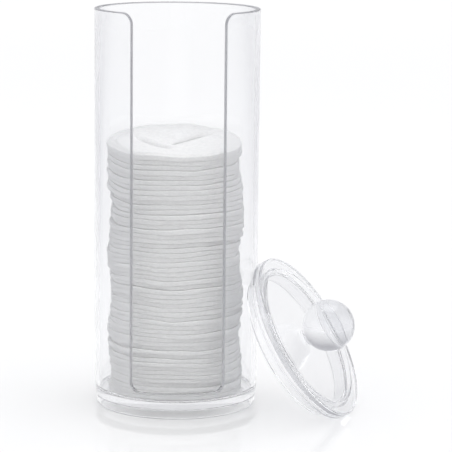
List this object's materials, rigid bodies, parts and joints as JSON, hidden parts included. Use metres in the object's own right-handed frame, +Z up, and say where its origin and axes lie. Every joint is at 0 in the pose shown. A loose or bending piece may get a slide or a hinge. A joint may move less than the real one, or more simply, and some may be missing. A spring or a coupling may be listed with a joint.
{
  "type": "cotton pad dispenser",
  "caption": "Clear upright tube with a tall front slot that holds a stack of round cotton pads, and a clear lid with a ball knob leaning on its side.",
  "frame": {"origin": "middle of the body's foot, on the surface that it stands on", "axes": "+Z up along the body's axis, -Y out through the slot, and the lid leans on the body on its +X side, turned a little to the front"},
  "size_m": [0.113, 0.0916, 0.1695],
  "materials": {
    "clear_body": "clear polished acrylic",
    "clear_lid": "clear polished acrylic",
    "clear_knob": "clear polished acrylic, solid",
    "cotton": "soft pressed cotton wool"
  },
  "bodies": {
    "root": {"body": "clear_body", "lid": "clear_lid", "knob": "clear_knob", "pad_01": "cotton", "pad_02": "cotton", "pad_03": "cotton", "pad_04": "cotton", "pad_05": "cotton", "pad_06": "cotton", "pad_07": "cotton", "pad_08": "cotton", "pad_09": "cotton", "pad_10": "cotton", "pad_11": "cotton", "pad_12": "cotton", "pad_13": "cotton", "pad_14": "cotton", "pad_15": "cotton", "pad_16": "cotton", "pad_17": "cotton", "pad_18": "cotton", "pad_19": "cotton", "pad_20": "cotton", "pad_21": "cotton", "pad_22": "cotton", "pad_23": "cotton", "pad_24": "cotton", "pad_25": "cotton", "pad_26": "cotton", "pad_27": "cotton", "pad_28": "cotton", "pad_29": "cotton", "pad_30": "cotton", "pad_31": "cotton", "pad_32": "cotton", "pad_33": "cotton", "pad_34": "cotton", "pad_35": "cotton", "pad_36": "cotton", "pad_37": "cotton", "pad_38": "cotton", "pad_39": "cotton", "pad_40": "cotton", "pad_41": "cotton", "pad_42": "cotton", "pad_43": "cotton", "pad_44": "cotton", "pad_45": "cotton", "pad_46": "cotton", "pad_47": "cotton", "pad_48": "cotton", "pad_49": "cotton", "pad_50": "cotton", "pad_51": "cotton", "pad_52": "cotton", "pad_53": "cotton", "pad_54": "cotton"}
  },
  "joints": []
}
